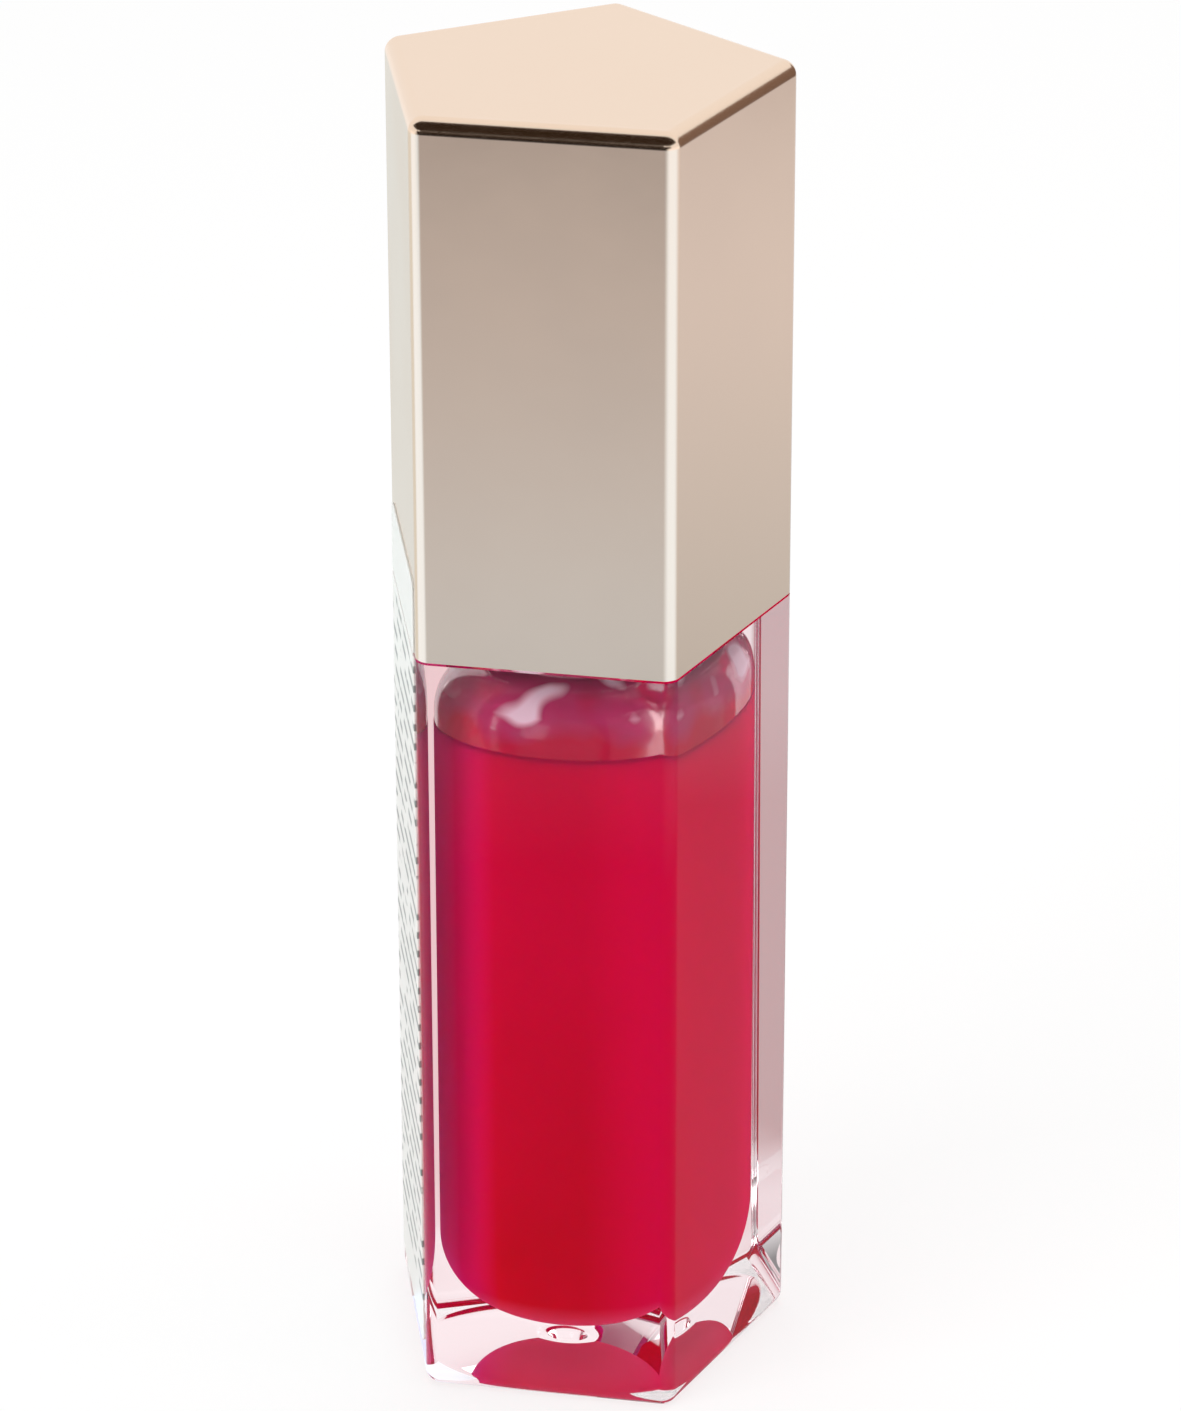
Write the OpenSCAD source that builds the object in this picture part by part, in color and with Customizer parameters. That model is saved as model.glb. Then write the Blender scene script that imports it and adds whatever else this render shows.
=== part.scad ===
// Pentagonal lip gloss tube: thick-walled clear bottle, screw cap with a metallised
// shell, wiper, doe-foot applicator and the gloss itself. Millimetres, +Z up, the
// origin is on the tube's axis at the base; one flat face looks along -Y.

/* [Body] */
// Distance from the axis to the sharp corner of the five-sided section
corner_r = 13.5; // [12.5:0.1:15]
// Height of the closed tube
total_h = 86; // [84:1:92]
// Height of the joint line between the bottle and the cap
joint_z = 51; // [50:1:53]
// Rounding of all outer edges
edge_r = 1; // [0.6:0.1:1.2]

/* [Bottle] */
// Radius of the round gloss chamber
chamber_r = 8.3; // [8:0.1:8.9]
// Thickness of the clear base under the chamber
base_t = 3.1; // [2.5:0.1:4]
// Rounding at the bottom of the chamber
bowl_r = 5.2; // [3:0.1:6]
// Rounding at the shoulder of the chamber
shoulder_r = 3.9; // [3:0.1:4.2]
// Clear material above the chamber, at the shoulder
shoulder_t = 1.7; // [1.5:0.1:2.5]
// Height of the gloss surface, at its lowest
fill_z = 44.2; // [40:0.1:44.5]

/* [Neck and thread] */
// Height of the neck above the joint
neck_h = 10; // [9:0.5:11]
// Radius of the neck at the root of its thread
neck_r = 5.9; // [5.7:0.1:6]
// Radius of the bore that holds the wiper
neck_bore_r = 4.15; // [4.05:0.05:4.25]
// How far the two-start thread rises in one turn
thread_lead = 6; // [5.5:0.1:6.5]
// Height of the thread's ridge above its root
thread_h = 0.8; // [0.6:0.05:0.85]

/* [Applicator] */
// Radius of the stem
stem_r = 2; // [1.8:0.1:2.1]
// Largest radius of the flocked tip
tip_r = 2.3; // [2.2:0.05:2.35]
// Height of the tip's lowest point above the base
tip_z = 6.8; // [6:0.1:8]
// Length of the flocked tip
tip_l = 11; // [9:0.5:12]
// Radius of the wiper's mouth
wiper_mouth_r = 2.5; // [2.45:0.01:2.6]

/* [Cap] */
// Wall of the metallised shell
shell_t = 1.4; // [1.2:0.1:1.6]
// Gap at the joint line
joint_gap = 0.15; // [0.1:0.05:0.3]

/* [Seal label] */
// Width of the label
label_w = 13.2; // [11:0.1:13.2]
// How far the label runs up the cap
label_up = 4.7; // [3:0.1:6]
// Thickness of the label
label_t = 0.12; // [0.1:0.01:0.2]

/* [Hidden] */
$fn = 64;
SIDES = 5;
SIDE_ANGLE = 360 / SIDES;
HALF_SIDE = SIDE_ANGLE / 2;
FRONT = -90;                                  // direction of the front face
LABEL_SIDE = FRONT - SIDE_ANGLE;              // direction of the face with the label
flat_r = corner_r * cos(HALF_SIDE);           // axis to a flat face
eps = 0.02;

chamber_top = joint_z - shoulder_t;
neck_top = joint_z + neck_h;

// Shallow dish under the base, with a boss for the gate mark in its middle
dish_h = 1.1;
dish_r = flat_r - edge_r - 0.25;
dish_ball = (dish_r * dish_r + dish_h * dish_h) / (2 * dish_h);
gate_r = 1.05;

// Wiper
flange_t = 1;
flange_r = neck_r - 0.4;
wiper_top = neck_top + flange_t;
wiper_bottom = joint_z - 4.6;
wiper_skirt_r = neck_bore_r - 0.25;
wiper_plug_r = neck_bore_r - 0.12;
wiper_wall = 0.75;
wiper_lip = 2.4;                              // height of the cone down to the mouth
bead_r = neck_bore_r - 0.01;                  // its two beads grip the bore

// Thread
STARTS = 2;
THREAD_STEP = 15;                             // degrees between two sections of a ridge
ridge_base = 1.35;
ridge_crest = 0.55;
ridge_bed = 0.3;                              // how deep a ridge is rooted in its wall
thread_gap = 0.25;                            // crest to root, on the cap's side
female_root = neck_r + thread_h + thread_gap;
female_crest = neck_r + 0.17;
male_turns = 1.1;
female_turns = 0.85;
male_z = joint_z + 1.4;
// half a pitch above the neck's ridge, which it meets across the gap
female_z = joint_z + 1.4 + thread_lead / STARTS / 2;

// Cap
cap_z = joint_z + joint_gap;
cap_top_t = 1.6;
shell_in_r = corner_r - shell_t / cos(HALF_SIDE);
inner_in_r = shell_in_r - 0.03;
inner_z = cap_z + 0.6;
washer_t = 0.8;
washer_z = wiper_top + 0.05;
deck_z = washer_z + washer_t + 0.1;
deck_t = 2.3;
sleeve_t = 1.35;
socket_r = 3;
socket_wall = 1.6;
socket_depth = 9;
rib_t = 1.2;
flange_plate_t = 1.5;

// Stem and tip
stem_collar_r = 3.7;
stem_neck_r = tip_r - 0.55;
pin_r = 0.95;
pin_l = 5;
flock_t = 0.5;
core_r = tip_r - flock_t;
flock_lap = 1.5;                              // how far the flock climbs up the stem
core_top = tip_z + tip_l - flock_lap;
FOOT_TILT = 21;                               // lean of the doe-foot's face from upright
gloss_bore_r = tip_r + 0.3;

// The directions of the five faces and of the five corners
function face_angle(k) = FRONT + k * SIDE_ANGLE;
function corner_angle(k) = face_angle(k) + HALF_SIDE;
function polar(r, a) = [r * cos(a), r * sin(a)];

// Corners of the section whose edges are rounded by e: centres of the roundings
function round_centres(r, e) =
    [for (k = [0 : SIDES - 1]) polar(r - e / cos(HALF_SIDE), corner_angle(k))];

// Outline between the roundings: each corner is cut at its two tangent points
function cut_corners(r, e) = [
    for (k = [0 : SIDES - 1])
        let (c = polar(r - e / cos(HALF_SIDE), corner_angle(k)))
        each [c + polar(e, face_angle(k)), c + polar(e, face_angle(k + 1))]
];

// Five-sided section with round corners
module section(r, e) {
    polygon(cut_corners(r, e));
    for (c = round_centres(r, e)) translate(c) circle(e);
}

// What rounding takes off the top edge above one face of a block of height h
module edge_cut(r, e, h) {
    flat = r * cos(HALF_SIDE);
    rotate([90, 0, 0]) translate([0, 0, -r]) linear_extrude(2 * r)
        difference() {
            translate([flat - e, h - e]) square(e + 1);
            translate([flat - e, h - e]) circle(e + 0.01);
        }
}

// Five-sided block of height h, with its vertical edges and its top edges rounded
module block(r, e, h) {
    difference() {
        linear_extrude(h) section(r, e);
        for (k = [0 : SIDES - 1]) rotate([0, 0, face_angle(k)]) edge_cut(r, e, h);
    }
}

// Radius of a helical ridge's crest at step i of n, which fades into the wall at both ends
function ridge_r(i, n, wall, crest) =
    let (fade = min(1, min(i, n - i) / 3))
    wall + (crest - wall) * fade;

// One start of a thread: a trapezoid swept along a helix, rooted in a wall
module ridge(wall, crest, z, turns, start) {
    n = round(turns * 360 / THREAD_STEP);
    out = crest > wall ? 1 : -1;
    bed = wall - out * ridge_bed;
    rings = [
        for (i = [0 : n])
            let (a = start + i * THREAD_STEP, up = z + thread_lead * i * THREAD_STEP / 360)
            let (tip = ridge_r(i, n, wall - out * 0.08, crest))
            for (p = [
                [bed, -ridge_base / 2], [tip, -ridge_crest / 2],
                [tip, ridge_crest / 2], [bed, ridge_base / 2]
            ])
                [p.x * cos(a), p.x * sin(a), up + p.y]
    ];
    sides = [
        for (i = [0 : n - 1])
            for (j = [0 : 3])
                let (a = 4 * i + j, b = 4 * i + (j + 1) % 4)
                each out > 0
                    ? [[a, b + 4, a + 4], [a, b, b + 4]]
                    : [[a, a + 4, b + 4], [a, b + 4, b]]
    ];
    ends = out > 0
        ? [[0, 2, 1], [0, 3, 2], [4 * n, 4 * n + 1, 4 * n + 2], [4 * n, 4 * n + 2, 4 * n + 3]]
        : [[0, 1, 2], [0, 2, 3], [4 * n, 4 * n + 2, 4 * n + 1], [4 * n, 4 * n + 3, 4 * n + 2]];
    polyhedron(rings, concat(sides, ends));
}

module thread(wall, crest, z, turns) {
    for (s = [0 : STARTS - 1]) ridge(wall, crest, z, turns, s * 360 / STARTS);
}

// Half profile of the gloss chamber, drawn in by g all round
module chamber_profile(g) {
    r = chamber_r - g;
    low = base_t + g;
    high = chamber_top - g;
    bowl = bowl_r - g;
    dome = shoulder_r - g;
    intersection() {
        translate([0, low]) square([r, high - low]);
        union() {
            translate([0, low]) square([r - bowl, high - low]);
            translate([0, low + bowl]) square([r, high - low - bowl - dome]);
            translate([0, low]) square([r - dome, high - low]);
            translate([r - bowl, low + bowl]) circle(bowl);
            translate([r - dome, high - dome]) circle(dome);
        }
    }
}

module chamber(g) {
    rotate_extrude() chamber_profile(g);
}

// What the dish takes out of the base, round the gate's boss
module base_dish() {
    difference() {
        translate([0, 0, dish_h - dish_ball]) sphere(dish_ball);
        translate([0, 0, -1]) cylinder(r = gate_r, h = dish_h + 2);
    }
}

// Clear bottle: five flat sides, a round chamber, a dish under the base, a threaded neck
module bottle() {
    color("mistyrose", 0.35) {
        difference() {
            union() {
                translate([0, 0, joint_z]) mirror([0, 0, 1]) block(corner_r, edge_r, joint_z);
                translate([0, 0, joint_z - eps]) cylinder(r = neck_r, h = neck_h + eps);
                thread(neck_r, neck_r + thread_h, male_z, male_turns);
            }
            chamber(0);
            translate([0, 0, chamber_top - 1]) cylinder(r = neck_bore_r, h = neck_top);
            base_dish();
        }
    }
}

// Wiper: a soft tube plugged into the neck, with a flange on top and a narrow mouth below
module wiper() {
    inner_r = wiper_skirt_r - wiper_wall;
    color("whitesmoke", 0.6)
    rotate_extrude() polygon(concat(
        [[inner_r + 0.3, wiper_top], [flange_r, wiper_top], [flange_r, neck_top + eps]],
        [[wiper_plug_r, neck_top + eps]],
        bead(neck_top - 2.5),
        bead(neck_top - 5),
        [[wiper_plug_r, chamber_top], [wiper_skirt_r, chamber_top - 0.8]],
        [[wiper_skirt_r, wiper_bottom + 0.5], [wiper_skirt_r - 0.5, wiper_bottom]],
        [[wiper_mouth_r, wiper_bottom], [wiper_mouth_r, wiper_bottom + 0.4]],
        [[inner_r, wiper_bottom + wiper_lip], [inner_r, wiper_top - 1]]
    ));
}

// Outline of a bead round the wiper's plug
function bead(z) =
    [[wiper_plug_r, z + 0.5], [bead_r, z + 0.25], [bead_r, z - 0.25], [wiper_plug_r, z - 0.5]];

// Gloss: fills the chamber up to its level, with the way that the applicator takes through it
module gloss() {
    color("crimson")
    difference() {
        intersection() {
            chamber(eps);
            cylinder(r = corner_r, h = fill_z);
        }
        translate([0, 0, tip_z - 0.6]) cylinder(r = gloss_bore_r, h = total_h);
    }
}

// A strip of the label on the face at LABEL_SIDE, from z0 to z1
module label_strip(z0, z1) {
    rotate([0, 0, LABEL_SIDE]) translate([flat_r, 0, 0])
        translate([0, -label_w / 2, z0]) cube([label_t, label_w, z1 - z0]);
}

module bottle_label() {
    color("white") label_strip(2.4, joint_z - 0.05);
}

module cap_label() {
    color("white") label_strip(cap_z + 0.05, cap_z + label_up);
}

// Washer that seals the inner cap against the wiper's flange
module sealing_washer() {
    color("gainsboro")
    translate([0, 0, washer_z]) difference() {
        cylinder(r = female_root - 0.15, h = washer_t);
        translate([0, 0, -1]) cylinder(r = stem_collar_r + 0.25, h = washer_t + 2);
    }
}

// Metallised shell of the cap, open below
module cap_shell() {
    color("tan") difference() {
        translate([0, 0, cap_z]) block(corner_r, edge_r, total_h - cap_z);
        translate([0, 0, cap_z - 1])
            linear_extrude(total_h - cap_top_t - cap_z + 1)
            polygon([for (k = [0 : SIDES - 1]) polar(shell_in_r, corner_angle(k))]);
    }
}

// Ribs from the axis out to the shell's flat walls
module ribs(z0, z1) {
    reach = inner_in_r * cos(HALF_SIDE) - 0.05;
    for (k = [0 : SIDES - 1])
        rotate([0, 0, face_angle(k)])
            translate([0, -rib_t / 2, z0]) cube([reach, rib_t, z1 - z0]);
}

// Inner cap: threaded sleeve, deck, socket for the stem and the ribs that fill the shell
module inner_cap() {
    sleeve_r = female_root + sleeve_t;
    color("white") {
        difference() {
            union() {
                translate([0, 0, inner_z]) linear_extrude(flange_plate_t)
                    polygon([for (k = [0 : SIDES - 1]) polar(inner_in_r, corner_angle(k))]);
                translate([0, 0, inner_z + 0.5])
                    cylinder(r = sleeve_r, h = deck_z + deck_t - inner_z - 0.5);
                translate([0, 0, deck_z])
                    cylinder(r = socket_r + socket_wall, h = socket_depth + 1.5);
                ribs(inner_z + 0.5, total_h - cap_top_t - 0.05);
            }
            translate([0, 0, inner_z - 1]) cylinder(r = female_root, h = deck_z - inner_z + 1);
            translate([0, 0, deck_z - 1]) cylinder(r = socket_r, h = socket_depth + 1);
        }
        thread(female_root, female_crest, female_z, female_turns);
    }
}

// Stem: plugs into the inner cap's socket and carries the tip
module stem() {
    color("ghostwhite", 0.8) difference() {
        union() {
            translate([0, 0, deck_z - eps])
                cylinder(r = socket_r - 0.01, h = socket_depth - 0.5);
            translate([0, 0, washer_z]) cylinder(r = stem_collar_r, h = deck_z - washer_z - eps);
            translate([0, 0, core_top + flock_lap])
                cylinder(r = stem_r, h = deck_z - core_top - flock_lap);
            translate([0, 0, core_top]) cylinder(r = stem_neck_r, h = flock_lap + 1);
        }
        translate([0, 0, core_top - 1]) cylinder(r = pin_r, h = pin_l + 1);
    }
}

// Doe-foot: a round rod with a round end, cut by a leaning face that is moved in by inset
module foot(r, low, high, inset) {
    difference() {
        union() {
            translate([0, 0, low + r]) cylinder(r = r, h = high - low - r);
            translate([0, 0, low + r]) sphere(r);
        }
        translate([0, tip_r * 0.25 + inset / cos(FOOT_TILT), tip_z])
            rotate([FOOT_TILT, 0, 0])
            translate([-10, -20, -10]) cube([20, 20, 40]);
    }
}

// Core of the tip, pinned into the stem
module tip_core() {
    color("mistyrose") {
        foot(core_r, tip_z + flock_t, core_top - eps, flock_t);
        translate([0, 0, core_top - 1]) cylinder(r = pin_r - 0.01, h = pin_l);
    }
}

// Flocking round the core
module tip_flock() {
    color("lightpink") difference() {
        foot(tip_r, tip_z, tip_z + tip_l, 0);
        foot(core_r + 0.01, tip_z + flock_t - 0.01, tip_z + tip_l + 1, flock_t - 0.01);
        translate([0, 0, core_top]) cylinder(r = core_r + 0.01, h = 5);
    }
}

bottle();
wiper();
gloss();
bottle_label();
sealing_washer();
cap_shell();
inner_cap();
stem();
tip_core();
tip_flock();
cap_label();
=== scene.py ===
"""Five-sided lip gloss tube: clear bottle, crimson gloss, champagne screw cap, applicator.

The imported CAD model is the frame: metres, +Z up, the tube's axis on Z, a flat face
towards -Y. Sizes below are written in millimetres and scaled once, where meshes are made.
"""

import logging
import math
from collections.abc import Callable, Iterable
from dataclasses import dataclass, field
from enum import Enum

import bmesh
import bpy
from mathutils import Matrix, Vector

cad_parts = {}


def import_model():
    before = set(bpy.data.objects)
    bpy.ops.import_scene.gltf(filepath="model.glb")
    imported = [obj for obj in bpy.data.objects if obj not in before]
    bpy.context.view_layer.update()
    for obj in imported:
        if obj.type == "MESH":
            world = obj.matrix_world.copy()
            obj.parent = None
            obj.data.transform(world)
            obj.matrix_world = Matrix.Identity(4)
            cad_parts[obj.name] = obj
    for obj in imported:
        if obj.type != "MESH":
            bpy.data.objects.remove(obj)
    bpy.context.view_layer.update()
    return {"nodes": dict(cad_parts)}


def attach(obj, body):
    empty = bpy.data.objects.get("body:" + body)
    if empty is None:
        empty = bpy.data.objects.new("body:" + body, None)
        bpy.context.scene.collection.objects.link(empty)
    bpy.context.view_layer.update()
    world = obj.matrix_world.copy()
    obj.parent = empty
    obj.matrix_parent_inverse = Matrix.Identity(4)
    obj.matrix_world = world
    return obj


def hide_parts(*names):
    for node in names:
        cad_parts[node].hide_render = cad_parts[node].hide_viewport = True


LOG = logging.getLogger("gloss_tube")
MM = 0.001
SIDES = 5
FACE_STEP = math.tau / SIDES
FRONT_FACE = -math.pi / 2
LABEL_FACE = FRONT_FACE - FACE_STEP
POLE_R = 0.01
MERGED = 0.0005 * MM
WHITE = "#ffffff"
DULLED = "#9a9a9a"

Profile = list[tuple[float, float]]
Tones = tuple[tuple[float, str], ...]


class Body(Enum):
    """The rigid bodies that the new pieces ride on."""

    BOTTLE = "bottle"
    CAP = "cap"


# --------------------------------------------------------------------------- colour


def linear(code: str) -> tuple[float, float, float, float]:
    """Turns an sRGB hex colour to the linear values that shaders take.

    Args:
        code: six hex digits, with or without a leading #.

    Returns:
        Linear red, green, blue and an alpha of 1.
    """
    digits = code.lstrip("#")
    parts = [int(digits[i : i + 2], 16) / 255 for i in (0, 2, 4)]
    red, green, blue = (
        c / 12.92 if c <= 0.04045 else ((c + 0.055) / 1.055) ** 2.4 for c in parts
    )
    return (red, green, blue, 1.0)


# --------------------------------------------------------------------------- nodes


@dataclass(frozen=True)
class Layer:
    """A colour laid over others, by a share that follows a value between low and high."""

    value: bpy.types.NodeSocket
    low: float
    high: float
    colour: object
    at_low: float = 0.0
    at_high: float = 1.0


class Nodes:
    """A node tree that is built up node by node."""

    def __init__(self, tree: bpy.types.NodeTree) -> None:
        """Takes the tree to build in."""
        self.tree = tree

    def add(
        self,
        kind: str,
        settings: dict[str, object] | None = None,
        inputs: dict[str | int, object] | None = None,
    ) -> bpy.types.Node:
        """Adds a node with its settings and links.

        Args:
            kind: the node's type name.
            settings: attributes to set on the node.
            inputs: a value or another node's output socket, by input name or number.

        Returns:
            The new node.
        """
        node = self.tree.nodes.new(kind)
        for key, value in (settings or {}).items():
            setattr(node, key, value)
        for key, value in (inputs or {}).items():
            self.feed(node, key, value)
        return node

    def feed(self, node: bpy.types.Node, key: str | int, value: object) -> None:
        """Sets an input to a value, or links it to an output socket.

        Args:
            node: the node to feed.
            key: its input's name or number.
            value: the value or another node's output socket.
        """
        if isinstance(value, bpy.types.NodeSocket):
            self.tree.links.new(value, node.inputs[key])
        else:
            node.inputs[key].default_value = value


class Shader(Nodes):
    """A material's nodes, built up round one Principled shader."""

    def __init__(self, name: str) -> None:
        """Starts a material of that name."""
        self.material = bpy.data.materials.new(name)
        self.material.use_nodes = True
        super().__init__(self.material.node_tree)
        self.principled = self.tree.nodes["Principled BSDF"]

    def place(self) -> bpy.types.NodeSocket:
        """Adds object coordinates in millimetres.

        Returns:
            The socket that gives them.
        """
        coords = self.add("ShaderNodeTexCoord")
        in_mm = {"Vector": coords.outputs["Object"], "Scale": (1 / MM, 1 / MM, 1 / MM)}
        return self.add("ShaderNodeMapping", {"vector_type": "POINT"}, in_mm).outputs["Vector"]

    def paint(self, ground: object, *layers: Layer) -> bpy.types.NodeSocket:
        """Lays colours over a ground, one after another.

        Args:
            ground: a linear colour, or the socket that gives it.
            layers: the colours to lay over it, the lowest first.

        Returns:
            The socket that gives the finished colour.
        """
        colour = ground
        for layer in layers:
            share = self.add(
                "ShaderNodeMapRange",
                None,
                {
                    "Value": layer.value,
                    "From Min": layer.low,
                    "From Max": layer.high,
                    "To Min": layer.at_low,
                    "To Max": layer.at_high,
                },
            )
            mix = self.add(
                "ShaderNodeMix",
                {"data_type": "RGBA"},
                {0: share.outputs["Result"], 6: colour, 7: layer.colour},
            )
            colour = mix.outputs[2]
        return colour

    def set(self, **values: object) -> None:
        """Sets the Principled shader's sockets, named with underscores for spaces."""
        for key, value in values.items():
            self.feed(self.principled, key.replace("_", " "), value)


# --------------------------------------------------------------------------- finishes


@dataclass(frozen=True)
class ClearCopolyester:
    """Injection-moulded clear PETG: water-clear, polished, with the faintest pink cast."""

    name: str = "clear_petg"
    tint: str = "#ffeef1"
    ior: float = 1.53
    scuff_mm: float = 6.0

    def make(self) -> bpy.types.Material:
        """Builds the material: light scuffs roughen the polish a little.

        Returns:
            The material.
        """
        shader = Shader(self.name)
        scuffs = shader.add(
            "ShaderNodeTexNoise",
            None,
            {"Vector": shader.place(), "Scale": 1 / self.scuff_mm, "Detail": 5.0},
        )
        rough = shader.add(
            "ShaderNodeMapRange",
            None,
            {"Value": scuffs.outputs["Fac"], "From Min": 0.35, "From Max": 0.75, "To Max": 0.02},
        )
        shader.set(
            Base_Color=linear(self.tint),
            Transmission_Weight=1.0,
            IOR=self.ior,
            Roughness=rough.outputs["Result"],
            Specular_Tint=linear(DULLED),
        )
        return shader.material


@dataclass(frozen=True)
class GlossLiquid:
    """Crimson lip gloss: dense pigment in a clear oil. Against the wall it looks matt."""

    name: str = "crimson_gloss"
    deep: str = "#cc0016"
    crimson: str = "#da0042"
    # painted light: brighter pink for the left side, which the label shades
    painted_left_glow: str = "#ff1a8c"
    rose: str = "#ec0052"
    # painted light: paler underneath, for light coming up through the base
    pale: str = "#f8608c"
    # painted sheen on the left rim
    painted_rim_sheen: str = "#ff60ac"
    half_width: float = 8.4
    cloud_mm: float = 9.0
    wet: bool = False

    def make(self) -> bpy.types.Material:
        """Builds the material: redder low down. Painted light brightens the left side, which the
        label shades, paints a sheen on its left rim and paints the underside paler, for light
        coming up through the base.

        Returns:
            The material.
        """
        shader = Shader(self.name)
        place = shader.place()
        split = shader.add("ShaderNodeSeparateXYZ", None, {"Vector": place})
        across, height = split.outputs["X"], split.outputs["Z"]
        wide = self.half_width
        cloud = shader.add(
            "ShaderNodeTexNoise",
            None,
            {"Vector": place, "Scale": 1 / self.cloud_mm, "Detail": 2.0},
        )
        body = shader.paint(
            linear(self.deep),
            Layer(height, 3.0, 34.45, linear(self.crimson)),
            # painted light on the left side, where the label shades it
            Layer(across, -0.96 * wide, -0.44 * wide, linear(self.painted_left_glow), 1.0, 0.0),
            Layer(across, 0.24 * wide, 0.9 * wide, linear(self.rose)),
            # painted sheen on the left rim
            Layer(across, -0.98 * wide, -0.76 * wide, linear(self.painted_rim_sheen), 1.0, 0.0),
            Layer(cloud.outputs["Fac"], 0.3, 0.7, linear(self.rose), 0.0, 0.15),
            # painted light underneath, for light coming up through the base
            Layer(height, 3.2, 5.6, linear(self.pale), 0.5, 0.0),
        )
        shader.set(
            Base_Color=body,
            Roughness=0.08 if self.wet else 0.6,
            IOR=1.47,
            Specular_IOR_Level=0.5 if self.wet else 0.0,
            Subsurface_Weight=0.55,
            Subsurface_Radius=(1.0, 0.3, 0.5),
            Subsurface_Scale=4.0 * MM,
        )
        return shader.material


@dataclass(frozen=True)
class SmearedWall:
    """The chamber's wall above the gloss, smeared with it: deep pink, with pale patches that are
    partly a thinner smear and partly painted light, near white and opaque where light shines
    through the wall.
    """

    name: str = "gloss_smeared_petg"
    # partly painted light: where the smear is sparse, the wall is painted near white
    thin_smear_painted_light: str = "#ffeafa"
    thick: str = "#d23a78"
    pooled: str = "#dc0046"
    level: float = 44.5
    patch_mm: float = 3.6
    ridge_mm: float = 0.1
    drawn_out: tuple[float, float, float] = (1.0, 1.0, 0.6)
    # this shift places the painted bright patches
    shifted_mm: tuple[float, float, float] = (0.0, 0.0, 7.0)

    def make(self) -> bpy.types.Material:
        """Builds the material: dense at the gloss's level, in drawn-out patches above it.

        Returns:
            The material.
        """
        shader = Shader(self.name)
        place = shader.place()
        split = shader.add("ShaderNodeSeparateXYZ", None, {"Vector": place})
        drawn = shader.add(
            "ShaderNodeVectorMath",
            {"operation": "MULTIPLY_ADD"},
            {0: place, 1: self.drawn_out, 2: self.shifted_mm},
        )
        smear = shader.add(
            "ShaderNodeTexNoise",
            None,
            {"Vector": drawn.outputs[0], "Scale": 1 / self.patch_mm, "Detail": 1.0},
        )
        low = shader.add(
            "ShaderNodeMapRange",
            None,
            {
                "Value": split.outputs["Z"],
                "From Min": self.level + 0.3,
                "From Max": self.level + 2.6,
                "To Min": 0.5,
                "To Max": 0.0,
            },
        )
        total = shader.add(
            "ShaderNodeMath",
            {"operation": "ADD"},
            {0: smear.outputs["Fac"], 1: low.outputs["Result"]},
        )
        dense = total.outputs[0]
        # painted light where the smear is sparse: near white, and opaque by the transmission below
        tint = shader.paint(
            linear(self.thin_smear_painted_light),
            Layer(dense, 0.40, 0.52, linear(self.thick)),
            Layer(dense, 0.62, 0.86, linear(self.pooled)),
        )
        clear = shader.add(
            "ShaderNodeMapRange",
            None,
            {"Value": dense, "From Min": 0.42, "From Max": 0.50, "To Max": 0.25},
        )
        rough = shader.add(
            "ShaderNodeMapRange",
            None,
            {"Value": dense, "From Min": 0.4, "From Max": 0.6, "To Min": 0.05, "To Max": 0.12},
        )
        bump = shader.add(
            "ShaderNodeBump",
            None,
            {"Height": smear.outputs["Fac"], "Distance": self.ridge_mm * MM},
        )
        shader.set(
            Base_Color=tint,
            Transmission_Weight=clear.outputs["Result"],
            Roughness=rough.outputs["Result"],
            IOR=1.53,
            Specular_Tint=linear(DULLED),
            Normal=bump.outputs["Normal"],
        )
        return shader.material


@dataclass(frozen=True)
class MetallisedCoat:
    """Vacuum-metallised ABS under a champagne lacquer: a soft mirror."""

    name: str = "champagne_metal_coat"
    lacquer: str = "#efd5bd"
    flush: str = "#f2d9c3"
    cloud_mm: float = 14.0
    peel_mm: float = 2.2
    peel_depth_mm: float = 0.004

    def make(self) -> bpy.types.Material:
        """Builds the material: a faint cloud in the colour, orange peel in the surface.

        Returns:
            The material.
        """
        shader = Shader(self.name)
        place = shader.place()
        cloud, peel = (
            shader.add(
                "ShaderNodeTexNoise",
                None,
                {"Vector": place, "Scale": 1 / size_mm, "Detail": detail},
            ).outputs["Fac"]
            for size_mm, detail in ((self.cloud_mm, 3.0), (self.peel_mm, 2.0))
        )
        rough = shader.add(
            "ShaderNodeMapRange",
            None,
            {"Value": cloud, "From Min": 0.3, "From Max": 0.7, "To Min": 0.16, "To Max": 0.22},
        )
        bump = shader.add(
            "ShaderNodeBump", None, {"Height": peel, "Distance": self.peel_depth_mm * MM}
        )
        shader.set(
            Base_Color=shader.paint(
                linear(self.lacquer), Layer(cloud, 0.0, 1.0, linear(self.flush))
            ),
            Metallic=1.0,
            Roughness=rough.outputs["Result"],
            Normal=bump.outputs["Normal"],
        )
        return shader.material


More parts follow.
